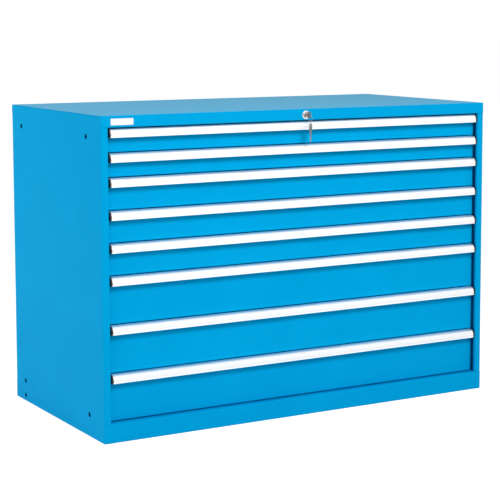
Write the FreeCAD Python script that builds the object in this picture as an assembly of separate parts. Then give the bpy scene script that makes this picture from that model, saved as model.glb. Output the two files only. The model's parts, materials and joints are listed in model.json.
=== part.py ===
import FreeCAD, Part
import math
import os

# Steel drawer cabinet with eight full-width drawers under one central lock.
# Millimetres. The origin is the centre of the base on the floor, +X runs to the right
# as seen from the front, +Y to the back and +Z up. The front plane is at -cabinet_depth / 2.

# Driving sizes of the cabinet
cabinet_width = 1431.0
cabinet_depth = 725.0
low_drawer = 75.0
middle_drawer = 100.0
tall_drawer = 150.0
drawer_pitches = (low_drawer, low_drawer, middle_drawer, middle_drawer, middle_drawer,
                  tall_drawer, tall_drawer, tall_drawer)
base_height = 60.0
top_rail_height = 36.0
stack_gap = 2.0
cut_overrun = 1.0

# Folded body sheets
body_sheet = 1.5
bend_radius = 2.5
stile_width = 23.0
stile_return = 10.0
rail_lip = 15.0
rear_drop = 30.0
side_flange = 24.0
base_return = 20.0
notch_clearance = 0.5

# Holes in the sides that join cabinets in a row
joining_hole_radius = 8.0
front_hole_setback = 112.0
rear_hole_setback = 82.0
upper_hole_drop = 68.0
lower_hole_rise = 69.5
floor_hole_rise = 20.0

# Back panel with pressed ribs
back_edge_gap = 0.3
rib_depth = 6.0
rib_foot_width = 70.0
rib_crest_width = 50.0
rib_place_shares = (-0.36, -0.18, 0.18, 0.36)

# Stiffening channels under the base
stiffener_width = 90.0
stiffener_foot = 18.0
stiffener_place_shares = (-0.32, 0.0, 0.32)

# Slotted posts that carry the fixed rails
post_depth = 24.0
post_width = 40.0
front_post_setback = 45.0
rear_post_setback = 102.0
post_slot_length = 14.0
post_slot_height = 5.0
post_slot_pitch = 100.0
post_slot_margin = 30.0

# Drawer fronts
front_recess = 22.0
front_side_gap = 4.0
front_gap = 3.0
front_pan_depth = 18.0
front_sheet = 1.2
front_lip = 12.0

# Aluminium handle strips and their end caps
handle_height = 27.0
handle_depth = 24.5
handle_top_depth = 10.0
handle_bulge_rise = 9.0
handle_wall = 2.0
handle_leg = 12.0
handle_lip_setback = 14.0
handle_side_gap = 4.0
end_cap_length = 5.0
label_groove_depth = 0.8
label_groove_margin = 4.0
label_strip_thickness = 0.6
label_seat_gap = 0.1
label_edge_gap = 0.2
label_end_gap = 1.5

# Drawer trays
slide_space = 25.8
tray_rear_space = 67.6
tray_sheet = 1.2
tray_bottom_rise = 6.0
tray_top_drop = 14.0
tray_rim = 8.0

# Telescopic slides
rail_height = 31.6
rail_sheet = 1.5
rail_rise = 6.0
rail_front_gap = 2.5
rail_rear_reach = 18.1
rail_running_gap = 0.6
carrier_thickness = 2.0
carrier_height = 26.0
carrier_front_gap = 4.0
carrier_rear_gap = 10.4
roller_gap = 0.3
roller_inset = 20.0
roller_spacing = 240.0
roller_count = 1
roller_flat_count = 12
drawer_rail_rear_gap = 13.2

# Central lock
lock_drop = 19.0
lock_flange_radius = 12.5
lock_flange_thickness = 3.0
lock_barrel_radius = 9.5
lock_barrel_length = 28.0
lock_hole_clearance = 0.2
lock_nut_radius = 12.0
lock_nut_flat_count = 6
lock_nut_thickness = 4.0
plug_radius = 7.0
plug_clearance = 0.1
plug_proud = 0.5
plug_length = 34.0
keyway_clearance = 0.2

# Keys and their ring
key_length = 60.0
key_thickness = 2.0
key_bow_length = 26.0
key_bow_width = 19.0
key_blade_width = 8.0
key_bow_round = 8.0
key_shoulder_round = 4.0
key_neck = 3.0
key_tip_length = 4.0
key_tip_width = 3.0
key_hole_radius = 3.0
key_hole_setback = 5.5
key_notch_count = 4
key_notch_depth = 2.0
key_notch_pitch = 5.0
key_notch_start = 38.0
ring_radius = 8.5
ring_wire_radius = 0.8
ring_seat_gap = 0.3
ring_flat_count = 36

# Lock rod, crank and lock bar behind the drawers
rod_radius = 4.0
rod_clearance = 0.1
crank_radius = 8.0
crank_thickness = 4.0
crank_rim = 4.0
crank_rest_degrees = -45.0
crank_turn_degrees = 90.0
crank_pin_radius = 2.5
crank_pin_reach = 5.0
bearing_width = 40.0
bearing_thickness = 4.0
bearing_setback = 16.0
bearing_drop = 9.0
lock_bar_width = 20.0
lock_bar_thickness = 3.0
lock_bar_gap = 0.4
lock_bar_foot_rise = 12.0
lock_head_width = 32.0
lock_head_margin = 6.0
slot_clearance = 0.4
lug_width = 24.0
lug_reach = 19.0
lug_sheet = 2.0
lug_rise = 50.0
hook_play = 2.0
hook_pass_gap = 2.0
hook_top_gap = 0.7
hook_lip = 14.0
hook_bar_gap = 7.0
guide_wall = 3.0
guide_height = 16.0
guide_width = 44.0
guide_top_gap = 6.0
guide_clearance = 0.4
guided_drawers = (1, 5, 8)

# Bare name plate on the top rail
plate_width = 75.0
plate_height = 20.0
plate_thickness = 0.8
plate_setback = 32.0
plate_corner = 1.5

# Places that follow from the driving sizes
half_width = cabinet_width / 2
front_y = -cabinet_depth / 2
back_y = cabinet_depth / 2
stack_bottom = base_height + stack_gap
stack_top = stack_bottom + sum(drawer_pitches)
cabinet_height = stack_top + stack_gap + top_rail_height
rail_bottom = cabinet_height - top_rail_height
web_inner = half_width - body_sheet
post_face = web_inner - post_depth
pan_face_y = front_y + front_recess
pan_back_y = pan_face_y + front_pan_depth
back_panel_inner = back_y - 2 * body_sheet
tray_half_width = post_face - slide_space
tray_back_y = back_panel_inner - tray_rear_space
lock_z = cabinet_height - lock_drop
plug_face_y = front_y - lock_flange_thickness - plug_proud
plug_back_y = plug_face_y + plug_length
carrier_x = (post_face + tray_half_width) / 2
lug_end_y = tray_back_y + lug_reach
hook_lip_back_y = lug_end_y - lug_sheet - hook_play
lock_bar_y = lug_end_y + hook_bar_gap
lock_lift = 2 * crank_radius * math.sin(math.radians(crank_turn_degrees / 2))
lug_lip = lock_lift + lug_sheet + hook_top_gap - hook_pass_gap


def vec(x, y, z):
    return FreeCAD.Vector(x, y, z)


def block(x_low, x_high, y_low, y_high, z_low, z_high):
    """A square-edged block between two corners."""
    return Part.makeBox(x_high - x_low, y_high - y_low, z_high - z_low, vec(x_low, y_low, z_low))


def rod(radius, length, start, direction):
    """A round bar from its start point."""
    return Part.makeCylinder(radius, length, start, direction)


def mirrored(shape):
    """The same piece on the other side of the cabinet."""
    return shape.mirror(vec(0, 0, 0), vec(1, 0, 0))


def joined(pieces):
    """Pieces of one sheet or casting, made one solid."""
    whole = pieces[0].fuse(pieces[1:])
    return whole.removeSplitter()


def in_xy(z):
    """Section plane level with the floor."""
    return lambda u, v: vec(u, v, z)


def in_xz(y):
    """Section plane parallel to the front."""
    return lambda u, v: vec(u, y, v)


def in_yz(x):
    """Section plane parallel to the sides."""
    return lambda u, v: vec(x, u, v)


def unit(start, end):
    length = math.hypot(end[0] - start[0], end[1] - start[1])
    return ((end[0] - start[0]) / length, (end[1] - start[1]) / length)


def rounded_wire(corners, place):
    """A closed outline from (u, v, radius) corners, each rounded by its own radius."""
    edges = []
    ends = []
    for index, (u, v, radius) in enumerate(corners):
        before = corners[index - 1]
        after = corners[(index + 1) % len(corners)]
        come = unit(before, (u, v))
        leave = unit((u, v), after)
        if radius <= 0:
            ends.append(((u, v), (u, v), None))
            continue
        turn = math.acos(max(-1.0, min(1.0, come[0] * leave[0] + come[1] * leave[1])))
        tangent = radius * math.tan(turn / 2)
        start = (u - come[0] * tangent, v - come[1] * tangent)
        end = (u + leave[0] * tangent, v + leave[1] * tangent)
        inward = unit((0, 0), (leave[0] - come[0], leave[1] - come[1]))
        reach = radius / math.cos(turn / 2) - radius
        ends.append((start, end, (u + inward[0] * reach, v + inward[1] * reach)))
    for index, (start, end, middle) in enumerate(ends):
        previous_end = ends[index - 1][1]
        run = Part.LineSegment(place(*previous_end), place(*start))
        edges.append(run.toShape())
        if middle:
            edges.append(Part.Arc(place(*start), place(*middle), place(*end)).toShape())
    return Part.Wire(edges)


def rounded_prism(corners, place, travel):
    """A rounded outline drawn out along a straight line."""
    return Part.Face(rounded_wire(corners, place)).extrude(travel)


def folded_corners(path, sheet, side, bend):
    """Corners of a folded sheet's section: one face follows the path, and the other lies
    one sheet thickness to its left (side 1) or to its right (side -1). The outside of each
    fold is rounded by the bend radius, and the inside is sharp."""
    face = []
    back = []
    for index, point in enumerate(path):
        come = unit(path[index - 1], point) if index > 0 else None
        leave = unit(point, path[index + 1]) if index < len(path) - 1 else None
        first = come or leave
        second = leave or come
        cross = first[0] * second[1] - first[1] * second[0]
        dot = max(-1.0, min(1.0, first[0] * second[0] + first[1] * second[1]))
        half_turn = math.acos(dot) / 2
        normal = unit((0, 0), (-(first[1] + second[1]) * side, (first[0] + second[0]) * side))
        reach = sheet / math.cos(half_turn)
        if bend <= 0 or cross == 0:
            radii = (0, 0)
        elif cross * side > 0:
            radii = (bend, 0)
        else:
            radii = (0, bend)
        face.append((point[0], point[1], radii[0]))
        back.append((point[0] + normal[0] * reach, point[1] + normal[1] * reach, radii[1]))
    return face + back[::-1]


def folded_sheet(path, sheet, side, bend, place, travel):
    """A sheet folded along the path and drawn out to its length."""
    return rounded_prism(folded_corners(path, sheet, side, bend), place, travel)


def side_panel():
    """Left side: a deep folded skin with the front stile and its return, a rear flange,
    and flanges at the floor and under the top."""
    skin_path = (
        (-half_width + stile_width, front_y + stile_return),
        (-half_width + stile_width, front_y),
        (-half_width, front_y),
        (-half_width, back_y),
        (-half_width + stile_width, back_y),
    )
    skin = folded_sheet(skin_path, body_sheet, -1, bend_radius, in_xy(base_height),
                        vec(0, 0, rail_bottom - base_height))
    run = vec(0, cabinet_depth - 2 * body_sheet, 0)
    foot_path = (
        (-half_width, base_height),
        (-half_width, 0),
        (-half_width + body_sheet + side_flange, 0),
    )
    foot = folded_sheet(foot_path, body_sheet, 1, bend_radius, in_xz(front_y + body_sheet), run)
    head_path = (
        (-half_width + body_sheet + side_flange, cabinet_height - body_sheet),
        (-half_width, cabinet_height - body_sheet),
        (-half_width, rail_bottom),
    )
    head = folded_sheet(head_path, body_sheet, 1, bend_radius, in_xz(front_y + body_sheet), run)
    panel = joined([skin, foot, head])
    hole_places = (
        (front_y + front_hole_setback, cabinet_height - upper_hole_drop),
        (back_y - rear_hole_setback, cabinet_height - upper_hole_drop),
        (front_y + front_hole_setback, lower_hole_rise),
        (back_y - rear_hole_setback, lower_hole_rise),
        (back_y - rear_hole_setback, floor_hole_rise),
    )
    for hole_y, hole_z in hole_places:
        start = vec(-half_width - cut_overrun, hole_y, hole_z)
        panel = panel.cut(rod(joining_hole_radius, body_sheet + 2 * cut_overrun, start, vec(1, 0, 0)))
    return panel


def top_panel():
    """Top sheet with the front rail, its lip underneath, and the rear drop."""
    path = (
        (front_y + body_sheet + rail_lip, rail_bottom),
        (front_y, rail_bottom),
        (front_y, cabinet_height),
        (back_y, cabinet_height),
        (back_y, cabinet_height - rear_drop),
    )
    panel = folded_sheet(path, body_sheet, -1, bend_radius, in_yz(-half_width), vec(cabinet_width, 0, 0))
    notch_inner = half_width - stile_width
    notch = block(notch_inner, half_width + cut_overrun, front_y + body_sheet, back_y - body_sheet,
                  rail_bottom - cut_overrun, cabinet_height - body_sheet)
    panel = panel.cut([notch, mirrored(notch)])
    bore_radius = lock_barrel_radius + lock_hole_clearance
    bore = rod(bore_radius, body_sheet + 2 * cut_overrun, vec(0, front_y - cut_overrun, lock_z), vec(0, 1, 0))
    return panel.cut(bore)


def back_panel():
    """Back sheet with pressed upright ribs, seated inside the flanges of sides and top."""
    outer_y = back_y - body_sheet
    edge = web_inner - back_edge_gap
    path = [(-edge, outer_y)]
    for share in rib_place_shares:
        centre = share * cabinet_width
        path += [
            (centre - rib_foot_width / 2, outer_y),
            (centre - rib_crest_width / 2, outer_y - rib_depth),
            (centre + rib_crest_width / 2, outer_y - rib_depth),
            (centre + rib_foot_width / 2, outer_y),
        ]
    path.append((edge, outer_y))
    height = cabinet_height - 2 * body_sheet - back_edge_gap - base_height
    return folded_sheet(path, body_sheet, -1, 0, in_xy(base_height), vec(0, 0, height))


def base_panel():
    """Floor of the cabinet, folded down into the front plinth and the rear plinth."""
    path = (
        (front_y + body_sheet + base_return, 0),
        (front_y, 0),
        (front_y, base_height),
        (back_y, base_height),
        (back_y, 0),
        (back_y - body_sheet - base_return, 0),
    )
    panel = folded_sheet(path, body_sheet, -1, bend_radius, in_yz(-half_width), vec(cabinet_width, 0, 0))
    web_room = block(web_inner, half_width + cut_overrun, front_y + body_sheet, back_y - body_sheet,
                     -cut_overrun, base_height + cut_overrun)
    flange_room = block(web_inner - side_flange - notch_clearance, half_width + cut_overrun,
                        front_y + body_sheet, back_y - body_sheet,
                        -cut_overrun, base_height - body_sheet)
    return panel.cut([web_room, mirrored(web_room), flange_room, mirrored(flange_room)])


def base_stiffeners():
    """Open channels under the floor sheet, which stand on the ground."""
    start_y = front_y + body_sheet + base_return + notch_clearance
    length = back_y - front_y - 2 * (body_sheet + base_return + notch_clearance)
    foot_z = base_height - 2 * body_sheet
    wall = stiffener_width / 2
    pieces = []
    for share in stiffener_place_shares:
        centre = share * cabinet_width
        path = (
            (centre - wall - stiffener_foot, foot_z),
            (centre - wall, foot_z),
            (centre - wall, 0),
            (centre + wall, 0),
            (centre + wall, foot_z),
            (centre + wall + stiffener_foot, foot_z),
        )
        pieces.append(folded_sheet(path, body_sheet, 1, 0, in_xz(start_y), vec(0, length, 0)))
    return pieces


def slide_post(start_y):
    """One upright channel on the left side, slotted for the rails' hooks."""
    path = (
        (-web_inner, start_y),
        (-post_face, start_y),
        (-post_face, start_y + post_width),
        (-web_inner, start_y + post_width),
    )
    height = cabinet_height - 2 * body_sheet - base_height
    post = folded_sheet(path, body_sheet, 1, 0, in_xy(base_height), vec(0, 0, height))
    slots = []
    slot_z = base_height + post_slot_margin
    slot_y = start_y + (post_width - post_slot_length) / 2
    while slot_z + post_slot_height < base_height + height - post_slot_margin:
        slots.append(block(-post_face - body_sheet - cut_overrun, -post_face + cut_overrun,
                           slot_y, slot_y + post_slot_length, slot_z, slot_z + post_slot_height))
        slot_z += post_slot_pitch
    return post.cut(slots)


def slide_posts():
    """Two posts on each side."""
    left = [
        slide_post(front_y + front_post_setback),
        slide_post(back_y - rear_post_setback - post_width),
    ]
    return left + [mirrored(post) for post in left]


def rail_section(web_x, reach, bottom, start_y, length):
    """A rail of open channel section. Its web stands at web_x and its flanges reach inwards
    to the carrier, so reach is negative where they run towards -X."""
    path = (
        (web_x + reach, bottom),
        (web_x, bottom),
        (web_x, bottom + rail_height),
        (web_x + reach, bottom + rail_height),
    )
    side = -1 if reach > 0 else 1
    return folded_sheet(path, rail_sheet, side, 0, in_xz(start_y), vec(0, length, 0))


def rail_reach():
    """Length of a rail's flanges, from its web to just short of the carrier."""
    return post_face - carrier_x - carrier_thickness / 2 - rail_running_gap


def cabinet_rails():
    """Fixed rails of all drawers, on both sides."""
    start_y = pan_back_y + rail_front_gap
    length = tray_back_y + rail_rear_reach - start_y
    rails = []
    for bottom, top in drawer_levels():
        left = rail_section(-post_face, rail_reach(), bottom + rail_rise, start_y, length)
        rails += [left, mirrored(left)]
    return rails


def drawer_levels():
    """Lower and upper boundary of each drawer, from the top drawer down."""
    levels = []
    top = stack_top
    for pitch in drawer_pitches:
        levels.append((top - pitch, top))
        top -= pitch
    return levels


def flat_sided(radius, flats, u, v, place, travel):
    """A disc drawn with a fixed number of flats, each of them at the radius from its axis."""
    reach = radius / math.cos(math.pi / flats)
    corners = []
    for step in range(flats):
        angle = 2 * math.pi * (step + 0.5) / flats
        corners.append((u + reach * math.sin(angle), v + reach * math.cos(angle), 0))
    return rounded_prism(corners, place, travel)


def drawer_slides(bottom):
    """The middle members of one drawer's two slides. Each carrier bar has a rear roller that
    runs in the cabinet's rail and a front roller that runs in the drawer's rail."""
    start_y = pan_back_y + carrier_front_gap
    end_y = tray_back_y - carrier_rear_gap
    middle_z = bottom + rail_rise + rail_height / 2
    bar_low = -carrier_x - carrier_thickness / 2
    bar_high = -carrier_x + carrier_thickness / 2
    bar = block(bar_low, bar_high, start_y, end_y,
                middle_z - carrier_height / 2, middle_z + carrier_height / 2)
    roller_radius = rail_height / 2 - rail_sheet - roller_gap
    roller_width = post_face - carrier_x - carrier_thickness / 2 - rail_sheet - roller_gap
    left = [bar]
    for step in range(roller_count):
        rear_y = end_y - roller_inset - step * roller_spacing
        lead_y = start_y + roller_inset + step * roller_spacing
        left.append(flat_sided(roller_radius, roller_flat_count, rear_y, middle_z,
                               in_yz(bar_low), vec(-roller_width, 0, 0)))
        left.append(flat_sided(roller_radius, roller_flat_count, lead_y, middle_z,
                               in_yz(bar_high), vec(roller_width, 0, 0)))
    return left + [mirrored(piece) for piece in left]


def drawer_tray(bottom, top):
    """Open steel tray with a turned-out rim, a rail on each side, and behind it the lock lug,
    an arm with a tongue welded below its end."""
    floor_z = bottom + tray_bottom_rise
    rim_z = top - tray_top_drop
    outer = block(-tray_half_width, tray_half_width, pan_back_y, tray_back_y, floor_z, rim_z)
    inner_edge = tray_half_width - tray_sheet
    hollow = block(-inner_edge, inner_edge, pan_back_y + tray_sheet, tray_back_y - tray_sheet,
                   floor_z + tray_sheet, rim_z + cut_overrun)
    rim = block(-tray_half_width - tray_rim, tray_half_width + tray_rim,
                pan_back_y, tray_back_y + tray_rim, rim_z - tray_sheet, rim_z)
    tray = joined([outer, rim]).cut(hollow)
    lug_top = bottom + lug_rise
    lug_arm = block(-lug_width / 2, lug_width / 2, tray_back_y, lug_end_y, lug_top - lug_sheet, lug_top)
    lug_tongue = block(-lug_width / 2, lug_width / 2, lug_end_y - lug_sheet, lug_end_y,
                       lug_top - lug_lip, lug_top - lug_sheet)
    rail_start = pan_back_y + tray_sheet
    rail_length = tray_back_y - drawer_rail_rear_gap - rail_start
    left = rail_section(-tray_half_width, -rail_reach(), bottom + rail_rise, rail_start, rail_length)
    return [tray, lug_arm, lug_tongue, left, mirrored(left)]


def drawer_front(bottom, top):
    """Folded front pan, closed at both ends and open at the back."""
    low = bottom + front_gap / 2
    high = top - front_gap / 2
    edge = half_width - stile_width - front_side_gap
    path = (
        (pan_back_y, high - front_lip),
        (pan_back_y, high),
        (pan_face_y, high),
        (pan_face_y, low),
        (pan_back_y, low),
        (pan_back_y, low + front_lip),
    )
    pan = folded_sheet(path, front_sheet, 1, bend_radius, in_yz(-edge), vec(2 * edge, 0, 0))
    corners = (
        (pan_face_y, low, bend_radius),
        (pan_back_y, low, bend_radius),
        (pan_back_y, high, bend_radius),
        (pan_face_y, high, bend_radius),
    )
    end = rounded_prism(corners, in_yz(-edge), vec(front_sheet, 0, 0))
    return joined([pan, end, mirrored(end)])


def handle_circle():
    """Centre and radius of the handle's bulging face, in depth forward of the drawer front
    and height above the handle's foot."""
    rise = handle_height - handle_bulge_rise
    centre = ((handle_depth ** 2 - handle_top_depth ** 2 - rise ** 2)
              / (2 * (handle_depth - handle_top_depth)))
    return centre, handle_depth - centre


def handle_depth_at(height, inset):
    """Depth of the bulging face at a height, on an arc inset from the outer one."""
    centre, radius = handle_circle()
    return centre + math.sqrt((radius - inset) ** 2 - (height - handle_bulge_rise) ** 2)


def handle_runs(foot_z, x):
    """Two drawing aids for the handle's section: a straight run and a run on the bulge."""
    def place(depth, height):
        return vec(x, pan_face_y - depth, foot_z + height)

    def straight(start, end):
        return Part.LineSegment(place(*start), place(*end)).toShape()

    def bulge(start, end, inset):
        heights = (start, (start + end) / 2, end)
        points = [place(handle_depth_at(height, inset), height) for height in heights]
        return Part.Arc(*points).toShape()

    return straight, bulge


def handle_foot(top):
    """Height of a handle's foot, for a drawer that ends at this top."""
    return top - front_gap / 2 - handle_height


def drawer_handle(top):
    """Full-width handle strip: a hooded aluminium profile, hollow below for the fingers,
    with a shallow groove along its face for the label strip."""
    half_length = half_width - stile_width - handle_side_gap - end_cap_length
    straight, bulge = handle_runs(handle_foot(top), -half_length)
    tall = handle_height
    wall = handle_wall
    groove_low = label_groove_margin
    groove_high = tall - label_groove_margin
    face_low = handle_depth_at(groove_low, 0)
    face_high = handle_depth_at(groove_high, 0)
    groove_depth_low = handle_depth_at(groove_low, label_groove_depth)
    groove_depth_high = handle_depth_at(groove_high, label_groove_depth)
    inner_low = handle_depth_at(wall, wall)
    inner_high = handle_depth_at(tall - wall, wall)
    edges = [
        straight((0, tall), (handle_top_depth, tall)),
        bulge(tall, groove_high, 0),
        straight((face_high, groove_high), (groove_depth_high, groove_high)),
        bulge(groove_high, groove_low, label_groove_depth),
        straight((groove_depth_low, groove_low), (face_low, groove_low)),
        bulge(groove_low, 0, 0),
        straight((handle_depth_at(0, 0), 0), (handle_lip_setback, 0)),
        straight((handle_lip_setback, 0), (handle_lip_setback, wall)),
        straight((handle_lip_setback, wall), (inner_low, wall)),
        bulge(wall, tall - wall, wall),
        straight((inner_high, tall - wall), (wall, tall - wall)),
        straight((wall, tall - wall), (wall, tall - handle_leg)),
        straight((wall, tall - handle_leg), (0, tall - handle_leg)),
        straight((0, tall - handle_leg), (0, tall)),
    ]
    return Part.Face(Part.Wire(edges)).extrude(vec(2 * half_length, 0, 0))


def label_strip(top):
    """Label strip that lies in the groove along a handle's face, just below flush."""
    half_length = half_width - stile_width - handle_side_gap - end_cap_length - label_end_gap
    straight, bulge = handle_runs(handle_foot(top), -half_length)
    low = label_groove_margin + label_edge_gap
    high = handle_height - label_groove_margin - label_edge_gap
    back = label_groove_depth - label_seat_gap
    face = back - label_strip_thickness
    edges = [
        bulge(low, high, face),
        straight((handle_depth_at(high, face), high), (handle_depth_at(high, back), high)),
        bulge(high, low, back),
        straight((handle_depth_at(low, back), low), (handle_depth_at(low, face), low)),
    ]
    return Part.Face(Part.Wire(edges)).extrude(vec(2 * half_length, 0, 0))


def drawer_end_caps(top):
    """Black caps that close both ends of a handle strip."""
    outer_x = half_width - stile_width - handle_side_gap
    straight, bulge = handle_runs(handle_foot(top), -outer_x)
    edges = [
        straight((0, handle_height), (handle_top_depth, handle_height)),
        bulge(handle_height, 0, 0),
        straight((handle_depth_at(0, 0), 0), (0, 0)),
        straight((0, 0), (0, handle_height)),
    ]
    left = Part.Face(Part.Wire(edges)).extrude(vec(end_cap_length, 0, 0))
    return [left, mirrored(left)]


def lock_housing():
    """Lock barrel with its front flange and the nut behind the rail."""
    flange = rod(lock_flange_radius, lock_flange_thickness,
                 vec(0, front_y - lock_flange_thickness, lock_z), vec(0, 1, 0))
    barrel = rod(lock_barrel_radius, lock_barrel_length, vec(0, front_y, lock_z), vec(0, 1, 0))
    nut_y = front_y + body_sheet
    nut = flat_sided(lock_nut_radius, lock_nut_flat_count, 0, lock_z,
                     in_xz(nut_y), vec(0, lock_nut_thickness, 0))
    housing = joined([flange, barrel, nut])
    bore = rod(plug_radius + plug_clearance, lock_flange_thickness + lock_barrel_length + 2 * cut_overrun,
               vec(0, front_y - lock_flange_thickness - cut_overrun, lock_z), vec(0, 1, 0))
    return housing.cut(bore)


def key_inside():
    """Length of the key's blade that is inside the plug."""
    return key_length - key_bow_length - key_neck


def lock_plug():
    """Turning plug of the lock, with an upright keyway."""
    plug = rod(plug_radius, plug_length, vec(0, plug_face_y, lock_z), vec(0, 1, 0))
    half_slot = key_thickness / 2 + keyway_clearance
    half_tall = key_blade_width / 2 + keyway_clearance
    keyway = block(-half_slot, half_slot, plug_face_y - cut_overrun,
                   plug_face_y + key_inside() + keyway_clearance,
                   lock_z - half_tall, lock_z + half_tall)
    return plug.cut(keyway)


def key_corners():
    """Outline of a key as (length from the bow's end, width, radius) corners."""
    bow = key_bow_width / 2
    blade = key_blade_width / 2
    corners = [
        (0, -bow, key_bow_round),
        (key_bow_length, -bow, key_shoulder_round),
        (key_bow_length, -blade, 0),
    ]
    for index in range(key_notch_count):
        centre = key_notch_start + index * key_notch_pitch
        corners += [
            (centre - key_notch_depth, -blade, 0),
            (centre, -blade + key_notch_depth, 0),
            (centre + key_notch_depth, -blade, 0),
        ]
    corners += [
        (key_length - key_tip_length, -blade, 0),
        (key_length, -key_tip_width / 2, 0),
        (key_length, key_tip_width / 2, 0),
        (key_length - key_tip_length, blade, 0),
        (key_bow_length, blade, 0),
        (key_bow_length, bow, key_shoulder_round),
        (0, bow, key_bow_round),
    ]
    return corners


def lock_key():
    """Key in the lock, its bow upright."""
    bow_end_y = plug_face_y - key_neck - key_bow_length

    def place(along, across):
        return vec(-key_thickness / 2, bow_end_y + along, lock_z + across)

    key = rounded_prism(key_corners(), place, vec(key_thickness, 0, 0))
    hole = rod(key_hole_radius, key_thickness + 2 * cut_overrun,
               vec(-key_thickness / 2 - cut_overrun, bow_end_y + key_hole_setback, lock_z), vec(1, 0, 0))
    return key.cut(hole)


def ring_top():
    """Centre of the ring's wire where it hangs in the inserted key's hole."""
    hole_y = plug_face_y - key_neck - key_bow_length + key_hole_setback
    return hole_y, lock_z - (key_hole_radius - ring_wire_radius - ring_seat_gap)


def key_ring():
    """Plain ring of flat wire, parallel to the front."""
    ring_y, top_z = ring_top()
    place = in_xz(ring_y - ring_wire_radius)
    run = vec(0, 2 * ring_wire_radius, 0)
    centre_z = top_z - ring_radius
    outer = flat_sided(ring_radius + ring_wire_radius, ring_flat_count, 0, centre_z, place, run)
    inner = flat_sided(ring_radius - ring_wire_radius, ring_flat_count, 0, centre_z, place, run)
    return outer.cut(inner)


def crank_offset():
    """Crank pin's place beside and above the rod's axis at rest."""
    angle = math.radians(crank_rest_degrees)
    return -crank_radius * math.cos(angle), crank_radius * math.sin(angle)


def lock_rod():
    """Long rod from the plug to the back, with a crank disc and pin that lift the lock bar."""
    disc_end_y = lock_bar_y - lock_bar_gap
    shaft = rod(rod_radius, disc_end_y - plug_back_y, vec(0, plug_back_y, lock_z), vec(0, 1, 0))
    disc = rod(crank_radius + crank_rim, crank_thickness,
               vec(0, disc_end_y - crank_thickness, lock_z), vec(0, 1, 0))
    pin_x, pin_rise = crank_offset()
    pin = rod(crank_pin_radius, crank_pin_reach, vec(pin_x, disc_end_y, lock_z + pin_rise), vec(0, 1, 0))
    return joined([shaft, disc, pin])


def lock_rod_bearing():
    """Hanger under the top sheet that carries the rear end of the rod."""
    y_low = lock_bar_y - bearing_setback - bearing_thickness
    plate = block(-bearing_width / 2, bearing_width / 2, y_low, y_low + bearing_thickness,
                  lock_z - bearing_drop, cabinet_height - body_sheet)
    bore = rod(rod_radius + rod_clearance, bearing_thickness + 2 * cut_overrun,
               vec(0, y_low - cut_overrun, lock_z), vec(0, 1, 0))
    return plate.cut(bore)


def lock_bar():
    """Upright bar behind the drawers, welded up from a strip, a slotted head for the crank
    pin, and a hook of two plates for each drawer. At rest it is down, clear of the lugs."""
    pin_x, pin_rise = crank_offset()
    slot_z = lock_z + pin_rise
    bar_back_y = lock_bar_y + lock_bar_thickness
    head_low = slot_z - crank_pin_radius - lock_head_margin
    head_high = slot_z + crank_pin_radius + lock_head_margin
    strip = block(-lock_bar_width / 2, lock_bar_width / 2, lock_bar_y, bar_back_y,
                  stack_bottom + lock_bar_foot_rise, head_low)
    head = block(-lock_head_width / 2, lock_head_width / 2, lock_bar_y, bar_back_y, head_low, head_high)
    slot_half = crank_pin_radius + slot_clearance
    slot = block(-crank_radius - slot_half, pin_x + slot_half, lock_bar_y - cut_overrun,
                 bar_back_y + cut_overrun, slot_z - slot_half, slot_z + slot_half)
    pieces = [strip, head.cut(slot)]
    hook_y = hook_lip_back_y - lug_sheet
    edge = lock_bar_width / 2
    for bottom, top in drawer_levels():
        lip_top = bottom + lug_rise - lug_lip - hook_pass_gap
        arm_low = lip_top - hook_lip
        arm_high = arm_low + lug_sheet
        pieces.append(block(-edge, edge, hook_y, lock_bar_y, arm_low, arm_high))
        pieces.append(block(-edge, edge, hook_y, hook_lip_back_y, arm_high, lip_top))
    return pieces


def lock_bar_guides():
    """Slotted guide blocks on the back panel, which keep the lock bar upright."""
    pieces = []
    levels = drawer_levels()
    for number in guided_drawers:
        top = levels[number - 1][1] - guide_top_gap
        body = block(-guide_width / 2, guide_width / 2,
                     lock_bar_y - guide_clearance - guide_wall, back_panel_inner,
                     top - guide_height, top)
        half_slot = lock_bar_width / 2 + guide_clearance
        slot = block(-half_slot, half_slot, lock_bar_y - guide_clearance,
                     lock_bar_y + lock_bar_thickness + guide_clearance,
                     top - guide_height - cut_overrun, top + cut_overrun)
        pieces.append(body.cut(slot))
    return pieces


def label_plate():
    """Bare name plate at the left end of the top rail."""
    left = -half_width + plate_setback
    low = cabinet_height - lock_drop - plate_height / 2
    corners = (
        (left, low, plate_corner),
        (left + plate_width, low, plate_corner),
        (left + plate_width, low + plate_height, plate_corner),
        (left, low + plate_height, plate_corner),
    )
    return rounded_prism(corners, in_xz(front_y - plate_thickness), vec(0, plate_thickness, 0))


def write_node(name, shape):
    """One STEP file for one named sub-part, which may hold several solids."""
    solids = shape if isinstance(shape, list) else [shape]
    whole = Part.makeCompound(solids) if len(solids) > 1 else solids[0]
    sound = all(solid.isValid() for solid in solids)
    whole.exportStep("parts/" + name + ".step")
    print(name, len(whole.Solids), "solids", round(whole.Volume), "mm3", "sound" if sound else "BROKEN")


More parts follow.
